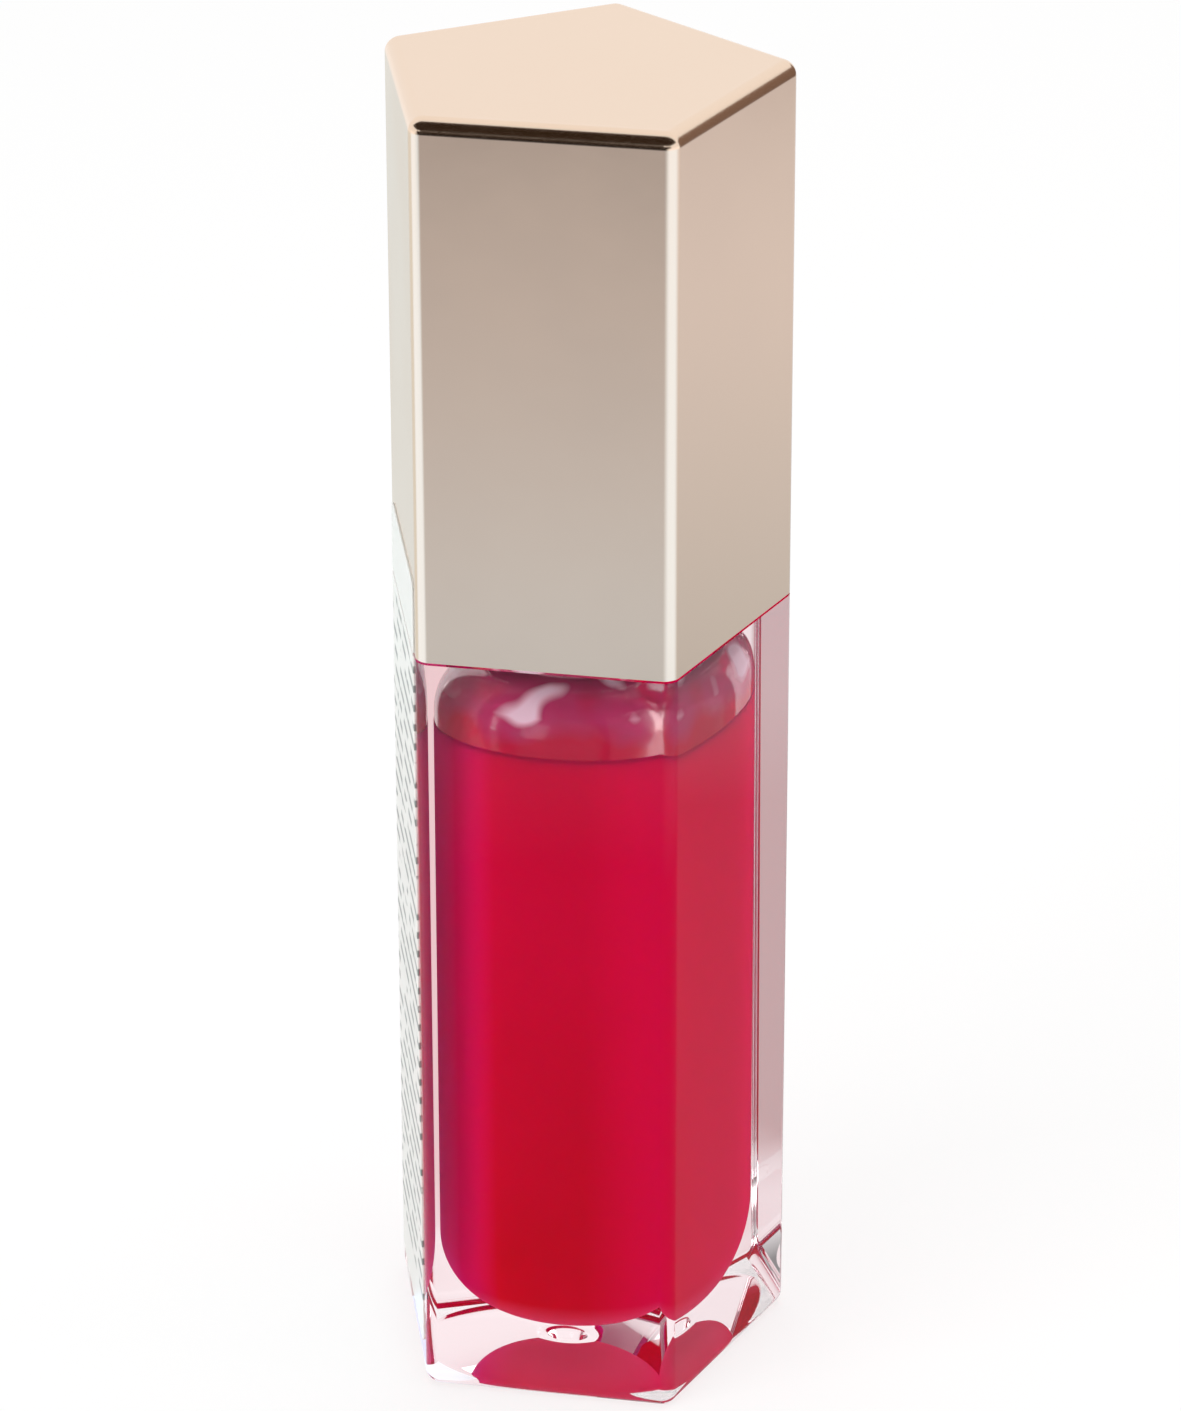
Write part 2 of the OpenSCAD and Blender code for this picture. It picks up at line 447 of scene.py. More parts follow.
@dataclass(frozen=True)
class RuledPaper:
    """Coated white label paper with fine grey rules."""

    name: str = "ruled_label_paper"
    paper: str = "#d8dad6"
    ink: str = "#7f8482"
    pitch_mm: float = 1.3
    run_mm: float = 1.8
    grain_mm: float = 0.5
    grain_depth_mm: float = 0.01
    ruled_from: float = 5.0
    ruled_to: float = 51.0

    def make(self) -> bpy.types.Material:
        """Builds the material: one rule each pitch, broken into runs of uneven length.

        Returns:
            The material.
        """
        shader = Shader(self.name)
        place = shader.place()
        split = shader.add("ShaderNodeSeparateXYZ", None, {"Vector": place})
        height = split.outputs["Z"]
        wave = shader.add(
            "ShaderNodeTexWave",
            {"wave_type": "BANDS", "bands_direction": "Z", "wave_profile": "SIN"},
            {"Vector": place, "Scale": math.tau / 20 / self.pitch_mm, "Distortion": 0.0},
        )
        runs, grain = (
            shader.add(
                "ShaderNodeTexNoise",
                None,
                {"Vector": place, "Scale": 1 / size_mm, "Detail": detail},
            ).outputs["Fac"]
            for size_mm, detail in ((self.run_mm, 1.0), (self.grain_mm, 2.0))
        )
        inked = 1.0
        for value, bare_at, full_at in (
            (wave.outputs["Fac"], 0.62, 0.78),
            (height, self.ruled_to, self.ruled_to - 1.0),
            (height, self.ruled_from, self.ruled_from + 1.0),
            (runs, 0.42, 0.46),
        ):
            share = shader.add(
                "ShaderNodeMapRange",
                None,
                {"Value": value, "From Min": bare_at, "From Max": full_at},
            )
            product = shader.add(
                "ShaderNodeMath", {"operation": "MULTIPLY"}, {0: inked, 1: share.outputs["Result"]}
            )
            inked = product.outputs[0]
        bump = shader.add(
            "ShaderNodeBump", None, {"Height": grain, "Distance": self.grain_depth_mm * MM}
        )
        shader.set(
            Base_Color=shader.paint(linear(self.paper), Layer(inked, 0.0, 1.0, linear(self.ink))),
            Roughness=0.42,
            Coat_Weight=0.3,
            Coat_Roughness=0.2,
            Subsurface_Weight=1.0,
            Subsurface_Radius=(1.0, 0.95, 0.95),
            Subsurface_Scale=0.25 * MM,
            Normal=bump.outputs["Normal"],
        )
        return shader.material


@dataclass(frozen=True)
class LabelBackingPaintedLight:
    """The label's glued side, seen through the clear wall: plain paper, painted pure white,
    brighter than the printed side, as painted light for light shining through the paper.
    """

    name: str = "label_backing_painted_light"
    # painted light: pure white, brighter than the printed side's paper
    paper: str = WHITE
    fibres: str = "#f6f4f2"
    fibre_mm: float = 0.8

    def make(self) -> bpy.types.Material:
        """Builds the material: matt paper with a faint cloud of fibres.

        Returns:
            The material.
        """
        shader = Shader(self.name)
        cloud = shader.add(
            "ShaderNodeTexNoise",
            None,
            {"Vector": shader.place(), "Scale": 1 / self.fibre_mm, "Detail": 2.0},
        )
        shader.set(
            Base_Color=shader.paint(
                linear(self.paper), Layer(cloud.outputs["Fac"], 0.0, 1.0, linear(self.fibres))
            ),
            Roughness=0.8,
            Specular_IOR_Level=0.2,
        )
        return shader.material


@dataclass(frozen=True)
class MouldedPlastic:
    """Natural moulded plastic, such as polypropylene or polyethylene: satin and slightly waxy."""

    name: str
    colour: str
    shade: str
    roughness: float = 0.38
    see_through: float = 0.0
    waxy: float = 0.1
    cloud_mm: float = 5.0
    grain_mm: float = 0.8
    grain_depth_mm: float = 0.008

    def make(self) -> bpy.types.Material:
        """Builds the material: a mild cloud in the colour and a fine moulded grain.

        Returns:
            The material.
        """
        shader = Shader(self.name)
        place = shader.place()
        cloud, grain = (
            shader.add(
                "ShaderNodeTexNoise",
                None,
                {"Vector": place, "Scale": 1 / size_mm, "Detail": detail},
            ).outputs["Fac"]
            for size_mm, detail in ((self.cloud_mm, 3.0), (self.grain_mm, 2.0))
        )
        rough = shader.add(
            "ShaderNodeMapRange",
            None,
            {
                "Value": cloud,
                "From Min": 0.3,
                "From Max": 0.7,
                "To Min": self.roughness - 0.05,
                "To Max": self.roughness + 0.05,
            },
        )
        bump = shader.add(
            "ShaderNodeBump", None, {"Height": grain, "Distance": self.grain_depth_mm * MM}
        )
        shader.set(
            Base_Color=shader.paint(
                linear(self.colour), Layer(cloud, 0.0, 1.0, linear(self.shade))
            ),
            Roughness=rough.outputs["Result"],
            IOR=1.5,
            Transmission_Weight=self.see_through,
            Subsurface_Weight=self.waxy,
            Subsurface_Radius=(1.0, 0.8, 0.7),
            Subsurface_Scale=1.5 * MM,
            Normal=bump.outputs["Normal"],
        )
        return shader.material


@dataclass(frozen=True)
class NylonFlock:
    """Short nylon flock, wet with the gloss that it carries."""

    name: str = "nylon_flock"
    fibre: str = "#d9707f"
    soaked: str = "#c01038"
    stain_mm: float = 2.5
    fibre_mm: float = 0.22
    fibre_depth_mm: float = 0.06

    def make(self) -> bpy.types.Material:
        """Builds the material: fibres of about 0.15 mm, drawn a little coarse, stained red.

        Returns:
            The material.
        """
        shader = Shader(self.name)
        place = shader.place()
        wet, fibres = (
            shader.add(
                "ShaderNodeTexNoise",
                None,
                {"Vector": place, "Scale": 1 / size_mm, "Detail": detail},
            ).outputs["Fac"]
            for size_mm, detail in ((self.stain_mm, 3.0), (self.fibre_mm, 2.0))
        )
        rough = shader.add(
            "ShaderNodeMapRange",
            None,
            {"Value": wet, "From Min": 0.3, "From Max": 0.6, "To Min": 0.8, "To Max": 0.35},
        )
        bump = shader.add(
            "ShaderNodeBump", None, {"Height": fibres, "Distance": self.fibre_depth_mm * MM}
        )
        shader.set(
            Base_Color=shader.paint(
                linear(self.fibre), Layer(wet, 0.3, 0.6, linear(self.soaked), 0.35, 1.0)
            ),
            Roughness=rough.outputs["Result"],
            Sheen_Weight=0.4,
            Normal=bump.outputs["Normal"],
        )
        return shader.material


# --------------------------------------------------------------------------- mesh tools


def deselect() -> None:
    """Leaves edit mode and deselects every object."""
    if bpy.context.object and bpy.context.object.mode != "OBJECT":
        bpy.ops.object.mode_set(mode="OBJECT")
    bpy.ops.object.select_all(action="DESELECT")


def take(name: str) -> bpy.types.Object:
    """Names the primitive just added.

    Args:
        name: its name, which its mesh gets too.

    Returns:
        The primitive.
    """
    piece = bpy.context.object
    piece.name = name
    piece.data.name = name
    return piece


def choose(piece: bpy.types.Object) -> None:
    """Makes a piece the only selected and the active object.

    Args:
        piece: the piece.
    """
    deselect()
    piece.select_set(True)
    bpy.context.view_layer.objects.active = piece


def pick(kind: str, test: Callable[[Vector, Vector], bool]) -> None:
    """In edit mode, selects only the verts, edges or faces that pass a test.

    Args:
        kind: "VERT", "EDGE" or "FACE".
        test: takes the middle in millimetres and the normal, or an edge's direction.
    """
    bpy.ops.mesh.select_mode(type=kind)
    bpy.ops.mesh.select_all(action="DESELECT")
    mesh = bmesh.from_edit_mesh(bpy.context.object.data)
    if kind == "VERT":
        for vert in mesh.verts:
            vert.select = test(vert.co / MM, vert.normal)
    elif kind == "EDGE":
        for edge in mesh.edges:
            a, b = (v.co for v in edge.verts)
            edge.select = test((a + b) / 2 / MM, (b - a).normalized())
    else:
        for face in mesh.faces:
            face.select = test(face.calc_center_median() / MM, face.normal)
    mesh.select_flush_mode()
    bmesh.update_edit_mesh(bpy.context.object.data)


def place_of(piece: bpy.types.Object) -> None:
    """Puts a piece's place, turn and size into its mesh."""
    choose(piece)
    bpy.ops.object.transform_apply(location=True, rotation=True, scale=True)


def apply_modifier(piece: bpy.types.Object, kind: str, **settings: object) -> None:
    """Adds a modifier and applies it.

    Args:
        piece: the piece to change.
        kind: the modifier's type name.
        settings: attributes to set on the modifier.
    """
    choose(piece)
    modifier = piece.modifiers.new(kind.title(), kind)
    for key, value in settings.items():
        setattr(modifier, key, value)
    bpy.ops.object.modifier_apply(modifier=modifier.name)


def join(name: str, pieces: Iterable[bpy.types.Object]) -> bpy.types.Object:
    """Joins pieces into one mesh.

    Args:
        name: the joined object's name.
        pieces: the objects to join.

    Returns:
        The joined object.
    """
    every = list(pieces)
    choose(every[0])
    for piece in every[1:]:
        piece.select_set(True)
    bpy.ops.object.join()
    return take(name)


def tidy(piece: bpy.types.Object, angle: float = 35.0) -> None:
    """Merges doubles, turns faces outwards and smooths the shading.

    Args:
        piece: the piece to finish.
        angle: edges that bend less than this many degrees are smoothed.
    """
    choose(piece)
    bpy.ops.object.mode_set(mode="EDIT")
    bpy.ops.mesh.select_all(action="SELECT")
    bpy.ops.mesh.remove_doubles(threshold=MERGED)
    bpy.ops.mesh.normals_make_consistent(inside=False)
    bpy.ops.object.mode_set(mode="OBJECT")
    bpy.ops.object.shade_smooth_by_angle(angle=math.radians(angle))


def level_flats(piece: bpy.types.Object) -> None:
    """Lets the flat faces keep their own normals beside the rounded edges."""
    apply_modifier(piece, "WEIGHTED_NORMAL", keep_sharp=True, weight=100)


def arc(
    centre: tuple[float, float], radius: float, start: float, stop: float, steps: int
) -> Profile:
    """Works out the points of an arc in a profile.

    Args:
        centre: the arc's centre, as radius and height.
        radius: the arc's own radius.
        start: its first angle in degrees.
        stop: its last angle in degrees.
        steps: the number of chords.

    Returns:
        The points, with both ends.
    """
    return [
        (
            centre[0] + radius * math.cos(math.radians(start + (stop - start) * i / steps)),
            centre[1] + radius * math.sin(math.radians(start + (stop - start) * i / steps)),
        )
        for i in range(steps + 1)
    ]


def lathe(name: str, profile: Profile, steps: int = 96) -> bpy.types.Object:
    """Turns a profile of (radius, height) points by extruding one ring after another.

    Args:
        name: the new object's name.
        profile: points in millimetres. An end on the axis is closed to one point, and a
            profile whose last point is its first makes a ring.
        steps: sides of each ring.

    Returns:
        The new object, with its place in its mesh.
    """
    deselect()
    at_radius, at_height = max(profile[0][0], POLE_R), profile[0][1]
    bpy.ops.mesh.primitive_circle_add(
        vertices=steps, radius=at_radius * MM, location=(0, 0, at_height * MM)
    )
    piece = take(name)
    place_of(piece)
    bpy.ops.object.mode_set(mode="EDIT")
    bpy.ops.mesh.select_mode(type="EDGE")
    bpy.ops.mesh.select_all(action="SELECT")
    for radius, height in profile[1:]:
        bpy.ops.mesh.extrude_region_move(
            TRANSFORM_OT_translate={"value": (0, 0, (height - at_height) * MM)}
        )
        scale = max(radius, POLE_R) / at_radius
        bpy.ops.transform.resize(value=(scale, scale, 1), center_override=(0, 0, height * MM))
        at_radius, at_height = max(radius, POLE_R), height
    for radius, height in (profile[0], profile[-1]):
        if radius <= POLE_R:
            pick(
                "VERT",
                lambda spot, normal: spot.xy.length < 2 * POLE_R and abs(spot.z - height) < 0.001,
            )
            bpy.ops.mesh.merge(type="CENTER")
    bpy.ops.mesh.select_all(action="SELECT")
    bpy.ops.mesh.remove_doubles(threshold=MERGED)
    bpy.ops.object.mode_set(mode="OBJECT")
    return piece


def fill_between(piece: bpy.types.Object, height: float) -> None:
    """Fills the flat area between a joined mesh's two open loops.

    Args:
        piece: the joined mesh.
        height: the height of the loops in millimetres.
    """
    choose(piece)
    bpy.ops.object.mode_set(mode="EDIT")
    bpy.ops.mesh.select_mode(type="EDGE")
    bpy.ops.mesh.select_all(action="DESELECT")
    bpy.ops.mesh.select_non_manifold(extend=False, use_boundary=True, use_wire=True)
    mesh = bmesh.from_edit_mesh(piece.data)
    for edge in mesh.edges:
        middle = (edge.verts[0].co + edge.verts[1].co) / 2 / MM
        edge.select = edge.select and abs(middle.z - height) < 0.01
    mesh.select_flush_mode()
    bmesh.update_edit_mesh(piece.data)
    bpy.ops.mesh.fill(use_beauty=True)
    bpy.ops.object.mode_set(mode="OBJECT")
    LOG.info("%s: filled at %.2f mm", piece.name, height)


def five_sided(
    name: str, corner_r: float, edge_r: float, low: float, high: float, rounded: float
) -> bpy.types.Object:
    """A five-sided prism with rounded upright edges and one rounded end.

    Args:
        name: the new object's name.
        corner_r: axis to the sharp corner.
        edge_r: rounding of the edges.
        low: height of the lower end.
        high: height of the upper end.
        rounded: the height of the end whose edges are rounded.

    Returns:
        The new object, with its place in its mesh.
    """
    deselect()
    bpy.ops.mesh.primitive_cylinder_add(
        vertices=SIDES,
        radius=corner_r * MM,
        depth=(high - low) * MM,
        location=(0, 0, (low + high) / 2 * MM),
        end_fill_type="NGON",
    )
    piece = take(name)
    first = piece.data.vertices[0].co
    turn = FRONT_FACE + FACE_STEP / 2 - math.atan2(first.y, first.x)
    piece.rotation_euler = (0, 0, turn)
    place_of(piece)
    bpy.ops.object.mode_set(mode="EDIT")
    pick("EDGE", lambda mid, way: abs(way.z) > 0.9)
    bpy.ops.mesh.bevel(
        offset=edge_r * math.tan(FACE_STEP / 2) * MM, segments=8, affect="EDGES", profile=0.5
    )
    pick("EDGE", lambda mid, way: abs(mid.z - rounded) < 0.001 and abs(way.z) < 0.1)
    bpy.ops.mesh.bevel(offset=edge_r * 0.96 * MM, segments=8, affect="EDGES", profile=0.5)
    bpy.ops.object.mode_set(mode="OBJECT")
    return piece


def dress(
    piece: bpy.types.Object,
    material: bpy.types.Material,
    body: Body,
    nodes: Iterable[str] = (),
) -> bpy.types.Object:
    """Gives a piece what the frame and the render need.

    Args:
        piece: the finished piece.
        material: its material.
        body: the body that it rides on.
        nodes: the CAD nodes that it stands for.

    Returns:
        The piece.
    """
    piece.data.materials.clear()
    piece.data.materials.append(material)
    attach(piece, body.value)
    for node in nodes:
        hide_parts(node)
    LOG.info("%s: %d faces", piece.name, len(piece.data.polygons))
    return piece


# --------------------------------------------------------------------------- sub-assemblies


@dataclass
class Bottle:
    """The thick clear bottle with its threaded neck."""

    corner_r: float = 13.5
    edge_r: float = 1.0
    height: float = 51.0
    chamber_r: float = 8.3
    base_t: float = 3.1
    bowl_r: float = 5.2
    shoulder_r: float = 3.9
    shoulder_t: float = 1.7
    neck_r: float = 5.9
    neck_h: float = 10.0
    bore_r: float = 4.15
    thread_lead: float = 6.0
    thread_turns: float = 1.1
    thread_h: float = 0.8
    thread_from: float = 1.4
    crest_half: float = 0.275
    root_half: float = 0.675
    dish_r: float = 9.67
    dish_h: float = 1.1
    gate_r: float = 1.05
    smeared_from: float = 44.5

    def neck_and_chamber(self) -> Profile:
        """Draws the turned part: up the neck, over its rim and down the chamber's wall.

        Returns:
            The profile.
        """
        top = self.height + self.neck_h
        roof = self.height - self.shoulder_t
        dome = (self.chamber_r - self.shoulder_r, roof - self.shoulder_r)
        bowl = (self.chamber_r - self.bowl_r, self.base_t + self.bowl_r)
        points: Profile = [(self.neck_r + 0.4, self.height)]
        points += arc((self.neck_r + 0.4, self.height + 0.4), 0.4, 270, 180, 4)
        points += arc((self.neck_r - 0.3, top - 0.3), 0.3, 0, 90, 4)
        points += arc((self.bore_r + 0.3, top - 0.3), 0.3, 90, 180, 4)
        points += arc((self.bore_r + 0.25, roof + 0.25), 0.25, 180, 270, 4)
        points += arc(dome, self.shoulder_r, 90, 0, 14)
        points += [(self.chamber_r, self.smeared_from)]
        points += arc(bowl, self.bowl_r, 0, -90, 18)
        points += [(1.5, self.base_t), (0.0, self.base_t)]
        return points

    def base_dish(self) -> Profile:
        """Draws the turned part under the base: a shallow dish with the gate's boss.

        Returns:
            The profile.
        """
        ball = (self.dish_r**2 + self.dish_h**2) / (2 * self.dish_h)
        rim = math.degrees(math.acos(self.dish_r / ball))
        foot = math.degrees(math.acos(1.7 * self.gate_r / ball))
        points = arc((0.0, self.dish_h - ball), ball, rim, foot, 16)
        points += [(1.25 * self.gate_r, self.dish_h - 0.12), (1.1 * self.gate_r, self.dish_h - 0.4)]
        return points + [(self.gate_r, 0.08), (self.gate_r - 0.08, 0.0), (0.0, 0.0)]

    def shape(self) -> bpy.types.Object:
        """Builds the bottle's mesh as one closed wall.

        Returns:
            The bottle without its thread.
        """
        outside = five_sided(
            "clear_bottle", self.corner_r, self.edge_r, 0.0, self.height, rounded=0.0
        )
        bpy.ops.object.mode_set(mode="EDIT")
        pick("FACE", lambda mid, normal: abs(normal.z) > 0.99 and mid.xy.length < 3)
        bpy.ops.mesh.delete(type="FACE")
        bpy.ops.object.mode_set(mode="OBJECT")
        inside = lathe("neck_and_chamber", self.neck_and_chamber())
        under = lathe("base_dish", self.base_dish())
        piece = join("clear_bottle", [outside, inside, under])
        fill_between(piece, self.height)
        fill_between(piece, 0.0)
        tidy(piece, 40)
        level_flats(piece)
        return piece

    def thread(self, start: int) -> bpy.types.Object:
        """Builds one start of the neck's thread, as a profile turned up along a screw.

        Args:
            start: 0, or 1 for the start that is half a turn round.

        Returns:
            The thread.
        """
        deselect()
        bpy.ops.mesh.primitive_plane_add(size=MM, rotation=(math.pi / 2, 0, 0))
        piece = take(f"neck_thread_{start + 1}")
        place_of(piece)
        bpy.ops.object.mode_set(mode="EDIT")
        bpy.ops.mesh.delete(type="ONLY_FACE")
        mesh = bmesh.from_edit_mesh(piece.data)
        base = self.height + self.thread_from
        for vert in mesh.verts:
            out = vert.co.x > 0
            up = 1 if vert.co.z > 0 else -1
            wide = self.crest_half if out else self.root_half
            reach = self.neck_r + self.thread_h if out else self.neck_r - 0.2
            vert.co = Vector((reach * MM, 0, (base + up * wide) * MM))
        bmesh.update_edit_mesh(piece.data)
        bpy.ops.object.mode_set(mode="OBJECT")
        apply_modifier(
            piece,
            "SCREW",
            angle=math.tau * self.thread_turns,
            screw_offset=self.thread_lead * self.thread_turns * MM,
            steps=72,
            render_steps=72,
            axis="Z",
        )
        bpy.ops.object.mode_set(mode="EDIT")
        bpy.ops.mesh.select_mode(type="EDGE")
        bpy.ops.mesh.select_all(action="DESELECT")
        bpy.ops.mesh.select_non_manifold(extend=False)
        bpy.ops.mesh.edge_face_add()
        bpy.ops.object.mode_set(mode="OBJECT")
        if start:
            piece.rotation_euler = (0, 0, math.pi)
            place_of(piece)
        tidy(piece)
        return piece

    def build(self) -> list[bpy.types.Object]:
        """Builds and dresses the bottle and its thread.

        Returns:
            The pieces made.
        """
        clear = ClearCopolyester().make()
        body = dress(self.shape(), clear, Body.BOTTLE, ["bottle"])
        body.data.materials.append(SmearedWall().make())
        for face in body.data.polygons:
            middle = face.center / MM
            above = self.smeared_from < middle.z < self.height - self.shoulder_t + 0.1
            if above and middle.xy.length < self.chamber_r + 0.02:
                face.material_index = 1
        threads = [
            dress(self.thread(start), clear, Body.BOTTLE) for start in (0, 1)
        ]
        return [body, *threads]


@dataclass
class Wiper:
    """The soft wiper plugged into the neck."""

    top: float = 62.0
    neck_top: float = 61.0
    roof: float = 49.3
    bottom: float = 46.4
    plug_r: float = 4.03
    grip_r: float = 4.14
    skirt_r: float = 3.9
    bore_r: float = 3.15
    mouth_r: float = 2.5

    def outline(self) -> Profile:
        """Draws the wiper's section, from the flange down the outside and up the bore.

        Returns:
            The profile.
        """
        points: Profile = [(3.5, self.top), (5.3, self.top), (5.5, self.top - 0.2)]
        points += [(5.5, self.neck_top + 0.05), (self.plug_r, self.neck_top + 0.02)]
        for bead in (self.neck_top - 2.5, self.neck_top - 5):
            points += [(self.plug_r, bead + 0.5), (self.grip_r, bead + 0.2)]
            points += [(self.grip_r, bead - 0.2), (self.plug_r, bead - 0.5)]
        points += [(self.plug_r, self.roof), (self.skirt_r, self.roof - 0.8)]
        points += arc((self.skirt_r - 0.5, self.bottom + 0.5), 0.5, 0, -90, 5)
        points += arc((self.mouth_r + 0.2, self.bottom + 0.2), 0.2, 270, 180, 3)
        points += [(self.mouth_r, self.bottom + 0.5), (self.bore_r, self.bottom + 2.4)]
        points += [(self.bore_r, self.top - 1.0), (3.5, self.top)]
        return points

    def build(self) -> bpy.types.Object:
        """Builds and dresses the wiper.

        Returns:
            The wiper.
        """
        piece = lathe("neck_wiper", self.outline(), 72)
        tidy(piece, 30)
        plastic = MouldedPlastic(
            "natural_ldpe", "#fbe6ee", "#f8d6e4", 0.3, see_through=0.15, waxy=0.3
        )
        return dress(piece, plastic.make(), Body.BOTTLE, ["wiper"])


@dataclass
class GlossFill:
    """The gloss, which touches the chamber's wall all round, with a raised rim at the top."""

    wall_r: float = 8.33
    floor: float = 3.07
    bowl_r: float = 5.23
    level: float = 44.2
    creep: float = 0.4

    def outline(self) -> Profile:
        """Draws the fill's section: from the floor up the wall, then down the meniscus.

        Returns:
            The profile.
        """
        bowl = (self.wall_r - self.bowl_r, self.floor + self.bowl_r)
        points: Profile = [(0.01, self.floor), (1.5, self.floor)]
        points += arc(bowl, self.bowl_r, -90, 0, 18)
        top = self.level + self.creep
        points += [(self.wall_r, 20.0), (self.wall_r, 35.0), (self.wall_r, top)]
        points += arc((self.wall_r - self.creep, top), self.creep, 0, -90, 8)[1:]
        points += [(4.0, self.level), (0.01, self.level)]
        return points

    def build(self) -> bpy.types.Object:
        """Builds and dresses the gloss, with a wet material where it meets the air.

        Returns:
            The gloss.
        """
        piece = lathe("gloss_fill", self.outline())
        tidy(piece, 60)
        dress(piece, GlossLiquid().make(), Body.BOTTLE, ["gloss"])
        piece.data.materials.append(GlossLiquid(name="crimson_gloss_surface", wet=True).make())
        for face in piece.data.polygons:
            middle = face.center / MM
            if middle.z > self.level - 0.1 and middle.xy.length < self.wall_r - 0.08:
                face.material_index = 1
        return piece


@dataclass
class SealLabel:
    """The paper label on the left face, slit at the joint into two pieces."""

    corner_r: float = 13.5
    width: float = 13.2
    thickness: float = 0.13
    bedded: float = 0.02
    low: float = 2.4
    joint_low: float = 50.95
    joint_high: float = 51.2
    high: float = 55.85
    radius: float = 0.7

    def strip(self, name: str, low: float, high: float, rounded: float) -> bpy.types.Object:
        """Builds one strip with the corners at its outer end rounded.

        Args:
            name: the new object's name.
            low: its lower edge.
            high: its upper edge.
            rounded: the height of the edge with round corners.

        Returns:
            The strip, on the left face.
        """
        deselect()
        bpy.ops.mesh.primitive_plane_add(size=1, rotation=(0, math.pi / 2, 0))
        piece = take(name)
        piece.scale = ((high - low) * MM, self.width * MM, 1)
        piece.location = (0, 0, (low + high) / 2 * MM)
        place_of(piece)
        bpy.ops.object.mode_set(mode="EDIT")
        pick("VERT", lambda spot, normal: abs(spot.z - rounded) < 0.01)
        bpy.ops.mesh.bevel(offset=self.radius * MM, segments=6, affect="VERTICES")
        bpy.ops.mesh.select_all(action="SELECT")
        bpy.ops.mesh.extrude_region_move(
            TRANSFORM_OT_translate={"value": (self.thickness * MM, 0, 0)}
        )
        bpy.ops.object.mode_set(mode="OBJECT")
        flat = self.corner_r * math.cos(FACE_STEP / 2) - self.bedded
        piece.rotation_euler = (0, 0, LABEL_FACE)
        piece.location = (flat * MM * math.cos(LABEL_FACE), flat * MM * math.sin(LABEL_FACE), 0)
        place_of(piece)
        tidy(piece, 30)
        return piece

    def build(self) -> list[bpy.types.Object]:
        """Builds and dresses both strips, with their glued side plain and painted brighter, as
        painted light.

        Returns:
            The bottle's strip and the cap's.
        """
        paper = RuledPaper().make()
        # painted light: the glued side is painted brighter than the printed side
        backing = LabelBackingPaintedLight().make()
        lower = self.strip("seal_label_bottle", self.low, self.joint_low, self.low)
        upper = self.strip("seal_label_cap", self.joint_high, self.high, self.high)
        dress(lower, paper, Body.BOTTLE, ["bottle_label"])
        dress(upper, paper, Body.CAP, ["cap_label"])
        outwards = Vector((math.cos(LABEL_FACE), math.sin(LABEL_FACE), 0))
        for piece in (lower, upper):
            piece.data.materials.append(backing)
            for face in piece.data.polygons:
                if face.normal.dot(outwards) < -0.9:
                    face.material_index = 1
        return [lower, upper]


@dataclass
class Cap:
    """The metallised shell of the cap."""

    corner_r: float = 13.5
    edge_r: float = 1.0
    low: float = 51.15
    high: float = 86.0
    wall: float = 1.4
    roof: float = 1.6
    rim: float = 0.12

    def build(self) -> bpy.types.Object:
        """Builds and dresses the shell: an open box with a wall and a roof.

        Returns:
            The shell.
        """
        piece = five_sided(
            "cap_shell_coated", self.corner_r, self.edge_r, self.low, self.high, self.high
        )
        bpy.ops.object.mode_set(mode="EDIT")
        pick("FACE", lambda mid, normal: normal.z < -0.99)
        bpy.ops.mesh.inset(thickness=self.rim * MM, depth=0)
        bpy.ops.mesh.inset(thickness=(self.wall - self.rim) * MM, depth=0)
        bpy.ops.mesh.extrude_region_move(
            TRANSFORM_OT_translate={"value": (0, 0, (self.high - self.low - self.roof) * MM)}
        )
        bpy.ops.object.mode_set(mode="OBJECT")
        tidy(piece, 40)
        level_flats(piece)
        return dress(piece, MetallisedCoat().make(), Body.CAP, ["cap_shell"])


